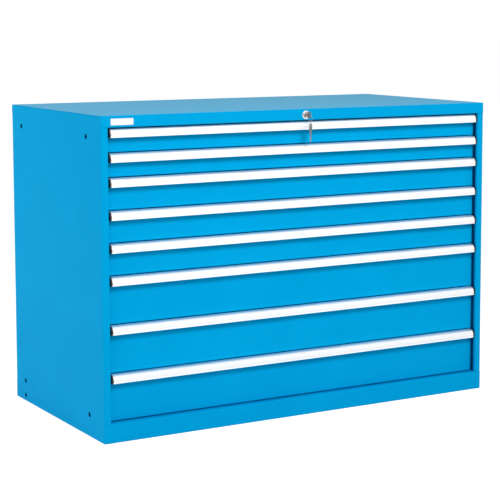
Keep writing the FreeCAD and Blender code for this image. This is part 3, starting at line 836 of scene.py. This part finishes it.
# %% [markdown]
# A slide's middle member is a flat bar between the two rails, with rollers on both
# faces. A roller is turned from its profile, with a recess round the head of its axle.
# The bar is a prism whose four corners are cut off.

# %% Outlines of the roller and the bar
carrier_height = 26 * MM
carrier_round = 6 * MM
roller_edge = 0.7 * MM
roller_hub_share = 0.62
axle_share = 0.34
recess_depth = 0.8 * MM
axle_crown = recess_depth / 4


def roller_outline(radius, width):
    """Profile of a roller from the bar outwards, (radius, distance along its axle)."""
    hub = radius * roller_hub_share
    axle = radius * axle_share
    return [(0, 0), (radius - roller_edge, 0), (radius, roller_edge), (radius, width - roller_edge),
            (radius - roller_edge, width), (hub, width), (hub - recess_depth, width - recess_depth),
            (axle, width - recess_depth), (axle, width - axle_crown),
            (axle * axle_share, width), (0, width)]


def bar_outline(start, end, middle_z):
    """Side view of a bar with its four corners cut off."""
    low, high = middle_z - carrier_height / 2, middle_z + carrier_height / 2
    return [(start + carrier_round, low), (end - carrier_round, low), (end, low + carrier_round),
            (end, high - carrier_round), (end - carrier_round, high), (start + carrier_round, high),
            (start, high - carrier_round), (start, low + carrier_round)]


print("middle bars", round(carrier_height / MM), "mm tall")

# %% [markdown]
# The rollers on a bar's outer face run in the cabinet's rail and sit near its rear
# end. Those on its inner face run in the drawer's rail and sit near its front end, so
# all of them are still in their rails when the drawer is right out.

# %% Slides
carrier_thickness = 2 * MM
roller_clearance = 0.6 * MM
roller_inset = 20 * MM
roller_spacing = 240 * MM
rollers_per_face = 2
slide_edge = 0.2 * MM
for number in drawer_numbers:
    node = f"drawer_{number}_slides"
    low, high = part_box(node)
    middle_z = (low.z + high.z) / 2
    roller_radius = (high.z - low.z) / 2
    tray_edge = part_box(f"drawer_{number}_tray")[1].x
    roller_width = (high.x - tray_edge) - (carrier_thickness + roller_clearance)
    carrier_x = high.x - roller_width - carrier_thickness / 2
    profile = roller_outline(roller_radius, roller_width)
    bars = bmesh.new()
    rollers = bmesh.new()
    for side in (-1, 1):
        outer = side * (carrier_x + carrier_thickness / 2)
        inner = side * (carrier_x - carrier_thickness / 2)
        prism(bars, bar_outline(low.y, high.y, middle_z), along_x, inner, outer)
        for step in range(rollers_per_face):
            rear_y = high.y - roller_inset - step * roller_spacing
            lead_y = low.y + roller_inset + step * roller_spacing
            turned(rollers, profile, Vector((outer, rear_y, middle_z)), (side, 0, 0))
            turned(rollers, profile, Vector((inner, lead_y, middle_z)), (-side, 0, 0))
    for name, mesh in (("slide_bars", bars), ("slide_rollers", rollers)):
        piece = new_piece(f"{name}_{number}", mesh, zinc, f"slides_{number}", slide_edge)
        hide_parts(node)
print("rollers in each pair of slides:", 4 * rollers_per_face, "of", round(2 * roller_radius / MM), "mm")

# %% [markdown]
# The lock and its keys have round shoulders, bows and holes. Points at even angles
# stand for an arc, and a circle is an arc that stops one step short of its start. With
# six corners it's a nut.

# %% Helpers for arcs and circles
def arc(centre, radius, start, end, steps):
    """Points on a circle from one angle in degrees to another."""
    angles = [math.radians(start + (end - start) * step / steps) for step in range(steps + 1)]
    return [(centre[0] + radius * math.cos(angle), centre[1] + radius * math.sin(angle))
            for angle in angles]


def circle(centre, radius, corners):
    """Corners set evenly round a circle."""
    return arc(centre, radius, 0, 360 - 360 / corners, corners - 1)


print("arcs and circles ready")

# %% [markdown]
# The lock sits in the top rail behind a polished ring. On the real lock the ring is
# turned: a flat face, a rounded shoulder and a small countersink where the plug
# turns. The same section turned round the lock's axis gives the same highlights.

# %% Section of the lock's ring and barrel
barrel_radius = 9.5 * MM
barrel_length = 28 * MM
bore_radius = 7.1 * MM
shoulder = 2.4 * MM
shoulder_start = 60
shoulder_steps = 2
countersink = 1.2 * MM
front_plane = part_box("side_panel_left")[0].y
housing_low, housing_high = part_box("lock_housing")
lock_middle = (housing_low + housing_high) / 2
ring_thickness = front_plane - housing_low.y
ring_reach = (housing_high.x - housing_low.x) / 2


def housing_outline():
    """Closed section of ring and barrel, (radius, distance forward of the rail)."""
    outline = [(bore_radius, -barrel_length), (bore_radius, ring_thickness - countersink),
               (bore_radius + countersink, ring_thickness), (ring_reach - shoulder, ring_thickness)]
    shoulder_centre = (ring_reach - shoulder, ring_thickness - shoulder)
    outline += arc(shoulder_centre, shoulder, shoulder_start, 0, shoulder_steps)
    outline += [(ring_reach, 0), (barrel_radius, 0), (barrel_radius, -barrel_length)]
    return outline + outline[:1]


print("lock ring", round(2 * ring_reach / MM, 1), "mm across")

# %% [markdown]
# Behind the rail's sheet a six-sided nut holds the barrel. It is one piece with the
# ring here, because nothing moves between them.

# %% Lock housing with its nut
housing_sides = 64
housing_edge = 0.2 * MM
nut_radius = 13 * MM
nut_thickness = 4 * MM
nut_sides = 6
rail_rear = front_plane + 1.5 * MM
seam_distance = 0.001 * MM
housing = bmesh.new()
lock_centre = Vector((lock_middle.x, front_plane, lock_middle.z))
turned(housing, housing_outline(), lock_centre, (0, -1, 0), steps=housing_sides)
nut = circle((lock_centre.x, lock_centre.z), nut_radius, nut_sides)
prism(housing, nut, along_y, rail_rear, rail_rear + nut_thickness)
bmesh.ops.remove_doubles(housing, verts=housing.verts, dist=seam_distance)
piece = new_piece("turned_lock_housing", housing, nickel, "cabinet", housing_edge)
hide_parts("lock_housing")
print("lock nut", round(2 * nut_radius / MM), "mm across its corners")

# %% [markdown]
# A key is stamped from strip. Its outline is a wide bow with round corners, two round
# shoulders down to the blade, and notches cut to different depths along one edge.
# Arcs give the round stretches, and a loop over the depths cuts the notches.

# %% The key's outline
key_length = 60 * MM
bow_length = 26 * MM
bow_half = 9.5 * MM
bow_round = 8 * MM
bow_steps = 8
blade_half = 4 * MM
neck_steps = 6
notch_start = 38 * MM
notch_pitch = 5 * MM
notch_depth_shares = (0.5, 0.25, 0.45, 0.3)
tip_length = 4 * MM
tip_half = 1.5 * MM


def key_outline():
    """A key's outline, (length from the bow's end, width)."""
    neck_round = bow_half - blade_half
    outline = arc((bow_round, bow_half - bow_round), bow_round, 180, 90, bow_steps)
    outline += arc((bow_length - neck_round, blade_half), neck_round, 90, 0, neck_steps)
    outline += [(key_length - tip_length, blade_half), (key_length, tip_half),
                (key_length, -tip_half), (key_length - tip_length, -blade_half)]
    for index in reversed(range(len(notch_depth_shares))):
        middle = notch_start + index * notch_pitch
        depth = notch_depth_shares[index] * blade_half
        outline += [(middle + depth, -blade_half), (middle, depth - blade_half),
                    (middle - depth, -blade_half)]
    outline += arc((bow_length - neck_round, -blade_half), neck_round, 0, -90, neck_steps)
    return outline + arc((bow_round, bow_round - bow_half), bow_round, 270, 180, bow_steps)


print("key outline of", len(key_outline()), "corners")

# %% [markdown]
# A flat outline with a hole, given a thickness and a small bevel, is all that a key
# needs. A two-dimensional curve does just that: an inner spline becomes a hole,
# extrude gives the thickness and bevel_depth rounds the edge.

# %% Key mesh
key_thickness = 2 * MM
key_edge = 0.35 * MM
key_hole_radius = 3 * MM
key_hole_setback = 5.5 * MM
key_hole_corners = 24


def key_mesh():
    """A key in the XY plane, its hole at the origin and its blade along +X."""
    curve = bpy.data.curves.new("key_outline", "CURVE")
    curve.dimensions = "2D"
    curve.fill_mode = "BOTH"
    curve.extrude = key_thickness / 2 - key_edge
    curve.bevel_depth = key_edge
    curve.offset = -key_edge
    hole = circle((key_hole_setback, 0), key_hole_radius, key_hole_corners)
    for points in (key_outline(), hole):
        spline = curve.splines.new("POLY")
        spline.points.add(len(points) - 1)
        for point, (along, across) in zip(spline.points, points):
            point.co = (along - key_hole_setback, across, 0, 1)
        spline.use_cyclic_u = True
    holder = bpy.data.objects.new("key_outline", curve)
    data = bpy.data.meshes.new_from_object(holder)
    bpy.data.objects.remove(holder)
    bpy.data.curves.remove(curve)
    mesh = bmesh.new()
    mesh.from_mesh(data)
    bpy.data.meshes.remove(data)
    bmesh.ops.remove_doubles(mesh, verts=mesh.verts, dist=seam_distance)
    return mesh


print("keys", round(key_thickness / MM, 1), "mm thick")

# %% [markdown]
# Rings and links are wire. A tube swept round a path makes them: at each point of the
# path a circle of points is set square to it, and the circles are joined with faces.

# %% Helper for bent wire
wire_sides = 10
steps_per_turn = 72


def swept_tube(mesh, path, radius, axle):
    """Adds a tube along a path that turns about an axle, closed at both ends."""
    rings = []
    for index, point in enumerate(path):
        before, after = path[max(index - 1, 0)], path[min(index + 1, len(path) - 1)]
        forward = (after - before).normalized()
        side = forward.cross(Vector(axle)).normalized()
        other = forward.cross(side)
        angles = [2 * math.pi * step / wire_sides for step in range(wire_sides)]
        rings.append([mesh.verts.new(point + radius * (side * math.cos(a) + other * math.sin(a)))
                      for a in angles])
    mesh.faces.new(rings[0])
    mesh.faces.new(rings[-1][::-1])
    for lower, upper in zip(rings, rings[1:]):
        for step in range(wire_sides):
            after = (step + 1) % wire_sides
            mesh.faces.new((lower[step], lower[after], upper[after], upper[step]))


print("wire has", wire_sides, "sides")

# %% [markdown]
# A split ring hangs in the hole of the key. Its wire runs round twice while it climbs
# by its own thickness, so that it reads as two turns pressed close.

# %% Split ring
wire_radius = 0.4 * MM
ring_turns = 2
ring_low, ring_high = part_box("key_ring")
ring_middle = (ring_low + ring_high) / 2
wire_circle = (ring_high.z - ring_low.z) / 2 - 2 * wire_radius
path = []
for step in range(ring_turns * steps_per_turn + 1):
    turns = step / steps_per_turn
    angle = 2 * math.pi * turns
    rise = (turns / ring_turns - 0.5) * 2 * wire_radius
    spoke = Vector((wire_circle * math.sin(angle), rise, wire_circle * math.cos(angle)))
    path.append(ring_middle + spoke)
split_ring = bmesh.new()
swept_tube(split_ring, path, wire_radius, (0, 1, 0))
piece = new_piece("split_ring", split_ring, key_metal, "key_ring")
piece.data.shade_smooth()
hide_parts("key_ring")
print("split ring", round(2 * wire_circle / MM, 1), "mm across its wire's middle")

# %% [markdown]
# The spare key hangs from a small closed link that crosses the ring. The link sits a
# little to one side of the ring's lowest place, as a loose link does.

# %% Link for the spare key
link_radius = 6 * MM
link_wire_radius = 0.5 * MM
link_overlap = 3 * wire_radius
spare_seat_angle = math.radians(10)
seat_direction = Vector((math.sin(spare_seat_angle), 0, -math.cos(spare_seat_angle)))
ring_seat = ring_middle + wire_circle * seat_direction
link_middle = ring_seat - Vector((0, 0, link_radius - link_overlap))
link_path = []
for step in range(steps_per_turn + 1):
    angle = 2 * math.pi * step / steps_per_turn
    link_path.append(link_middle + link_radius * Vector((0, math.sin(angle), math.cos(angle))))
link = bmesh.new()
swept_tube(link, link_path, link_wire_radius, (1, 0, 0))
piece = new_piece("spare_key_link", link, key_metal, "key_ring")
piece.data.shade_smooth()
print("link", round(2 * link_radius / MM, 1), "mm across its wire's middle")

# %% [markdown]
# One key stands in the lock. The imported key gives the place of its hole. A matrix
# whose columns are the new X, Y and Z axes turns the flat key: its blade points into
# the lock and its width stands upright.

# %% Key in the lock
key_low, key_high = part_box("lock_key")
key_middle = (key_low + key_high) / 2
key_hole = Vector((key_middle.x, key_low.y + key_hole_setback, key_middle.z))
into_lock = Matrix(((0, 0, 1), (1, 0, 0), (0, 1, 0))).to_4x4()
inserted = key_mesh()
bmesh.ops.transform(inserted, matrix=Matrix.Translation(key_hole) @ into_lock, verts=inserted.verts)
piece = new_piece("key_in_lock", inserted, key_metal, "key")
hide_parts("lock_key")
print("key stands", round((front_plane - key_low.y) / MM, 1), "mm out of the top rail")

# %% [markdown]
# The spare key is the same mesh again. It hangs blade down from the link, faces the
# front, and is twisted a little, as a key on a loose link comes to rest.

# %% Spare key
spare_twist = math.radians(32)
hole_drop = link_radius + key_hole_radius - 2 * link_wire_radius
spare_hole = link_middle - Vector((0, 0, hole_drop))
hanging = Matrix(((0, 1, 0), (0, 0, -1), (-1, 0, 0))).to_4x4()
twist = Matrix.Rotation(spare_twist, 4, "Z")
spare = key_mesh()
bmesh.ops.transform(spare, matrix=Matrix.Translation(spare_hole) @ twist @ hanging, verts=spare.verts)
spare_low = min(vert.co.z for vert in spare.verts)
tray_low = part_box("drawer_1_tray")[0].z
new_piece("spare_key", spare, key_metal, "key_ring")
print("spare key hangs", round((spare_low - tray_low) / MM, 1), "mm above the first tray's floor")

# %% [markdown]
# The stage is a plain pale floor in a white studio. The white isn't strong light:
# world and floor are white only for the camera, for mirrors and for glass. Light Path
# tells the rays apart, and the largest of its three answers is one if any of them is.

# %% Rays that see the white
def seen_directly(tree):
    """One for rays from the camera, and for those from mirrors and glass."""
    paths = add_node(tree, "ShaderNodeLightPath")
    total = paths.outputs["Is Camera Ray"]
    for ray in ("Is Glossy Ray", "Is Transmission Ray"):
        larger = add_node(tree, "ShaderNodeMath", {0: total, 1: paths.outputs[ray]})
        larger.operation = "MAXIMUM"
        total = larger.outputs[0]
    return total


print("three kinds of rays see the white")

# %% [markdown]
# The world is a large soft lamp that fills every shadow. Its light is weak and
# slightly blue, and the rays that see it directly get plain white instead.

# %% White world
ambient_strength = 0.42
ambient_tint = (0.97, 0.985, 1.0, 1)
plain_white = (1, 1, 1, 1)


def white_world():
    world = bpy.data.worlds.new("studio")
    world.use_nodes = True
    tree = world.node_tree
    tree.nodes.remove(tree.nodes["Background"])
    soft = add_node(tree, "ShaderNodeBackground", {"Color": ambient_tint, "Strength": ambient_strength})
    white = add_node(tree, "ShaderNodeBackground", {"Color": plain_white})
    inputs = {0: seen_directly(tree), 1: soft.outputs[0], 2: white.outputs[0]}
    mix = add_node(tree, "ShaderNodeMixShader", inputs)
    tree.links.new(mix.outputs[0], tree.nodes["World Output"].inputs["Surface"])
    return world


bpy.context.scene.world = white_world()
print("world strength", ambient_strength)

# %% [markdown]
# The floor is matt and pale, with some glow for the same rays, so that it fades into
# the white but keeps the cabinet's shadow. It lies a hair below the cabinet.

# %% Pale floor
floor_tone = (0.80, 0.80, 0.80, 1)
floor_glow = 0.68
floor_half = 40.0
floor_drop = 0.4 * MM


def pale_floor_finish():
    material = bpy.data.materials.new("pale_floor")
    material.use_nodes = True
    tree = material.node_tree
    tree.nodes.remove(tree.nodes["Principled BSDF"])
    matt = add_node(tree, "ShaderNodeBsdfDiffuse", {"Color": floor_tone})
    share = add_node(tree, "ShaderNodeMath", {0: seen_directly(tree), 1: floor_glow})
    share.operation = "MULTIPLY"
    glow = add_node(tree, "ShaderNodeEmission", {"Strength": share.outputs[0]})
    both = add_node(tree, "ShaderNodeAddShader", {0: matt.outputs[0], 1: glow.outputs[0]})
    tree.links.new(both.outputs[0], tree.nodes["Material Output"].inputs["Surface"])
    return material


floor_corners = [(x * floor_half, y * floor_half, -floor_drop)
                 for x, y in ((-1, -1), (1, -1), (1, 1), (-1, 1))]
floor_data = bpy.data.meshes.new("studio_floor")
floor_data.from_pydata(floor_corners, [], [range(len(floor_corners))])
floor_data.materials.append(pale_floor_finish())
studio_floor = bpy.data.objects.new("studio_floor", floor_data)
bpy.context.scene.collection.objects.link(studio_floor)
print("floor", 2 * floor_half, "m wide")

# %% [markdown]
# The key light is a soft panel in front of the cabinet, near its middle and well above
# it, so that each handle throws a narrow dark shadow on the front below. A second,
# larger and weaker panel stands off to the left and keeps the side from going dark.

# %% Lights
key_light = {"place": (-0.25, -3.6, 3.3), "target": (-0.1, -0.36, 0.6), "size": (1.3, 1.3), "power": 118}
side_light = {"place": (-4.0, 1.0, 1.6), "target": (-0.7, 0, 0.5), "size": (2.0, 1.6), "power": 60}


def soft_panel(name, place, target, size, power):
    lamp = bpy.data.lights.new(name, "AREA")
    lamp.shape = "RECTANGLE"
    lamp.size, lamp.size_y = size
    lamp.energy = power
    panel = bpy.data.objects.new(name, lamp)
    panel.location = place
    panel.rotation_euler = (Vector(target) - Vector(place)).to_track_quat("-Z", "Y").to_euler()
    bpy.context.scene.collection.objects.link(panel)


soft_panel("key_panel", **key_light)
soft_panel("side_panel_light", **side_light)
print("two soft panels,", key_light["power"], "and", side_light["power"], "watts")

# %% [markdown]
# The camera stands where the photographer stood: to the left, at about the height
# of a chest, far enough back for lines to converge only gently. The shift slides the
# view sideways and down, so a slight dip is enough and upright edges stay nearly so.

# %% Camera
picture_side = 500
focal_pixels = 1574.22
film_width = 36
shift_sideways = -0.08
shift_down = -0.14
sight_end = 200
camera_place = Vector((-2.6353, front_plane - 4.2986, 1.2955))
camera_turn = 0.5399
camera_dip = 0.1037
scene = bpy.context.scene
lens = bpy.data.cameras.new("photograph")
lens.sensor_width = film_width
lens.lens = film_width * focal_pixels / picture_side
lens.shift_x = shift_sideways
lens.shift_y = shift_down
lens.clip_end = sight_end
camera = bpy.data.objects.new("photograph", lens)
camera.location = camera_place
camera.rotation_euler = (math.pi / 2 - camera_dip, 0, -camera_turn)
scene.collection.objects.link(camera)
scene.camera = camera
scene.view_settings.view_transform = "Standard"
print("lens", round(lens.lens, 1), "mm")
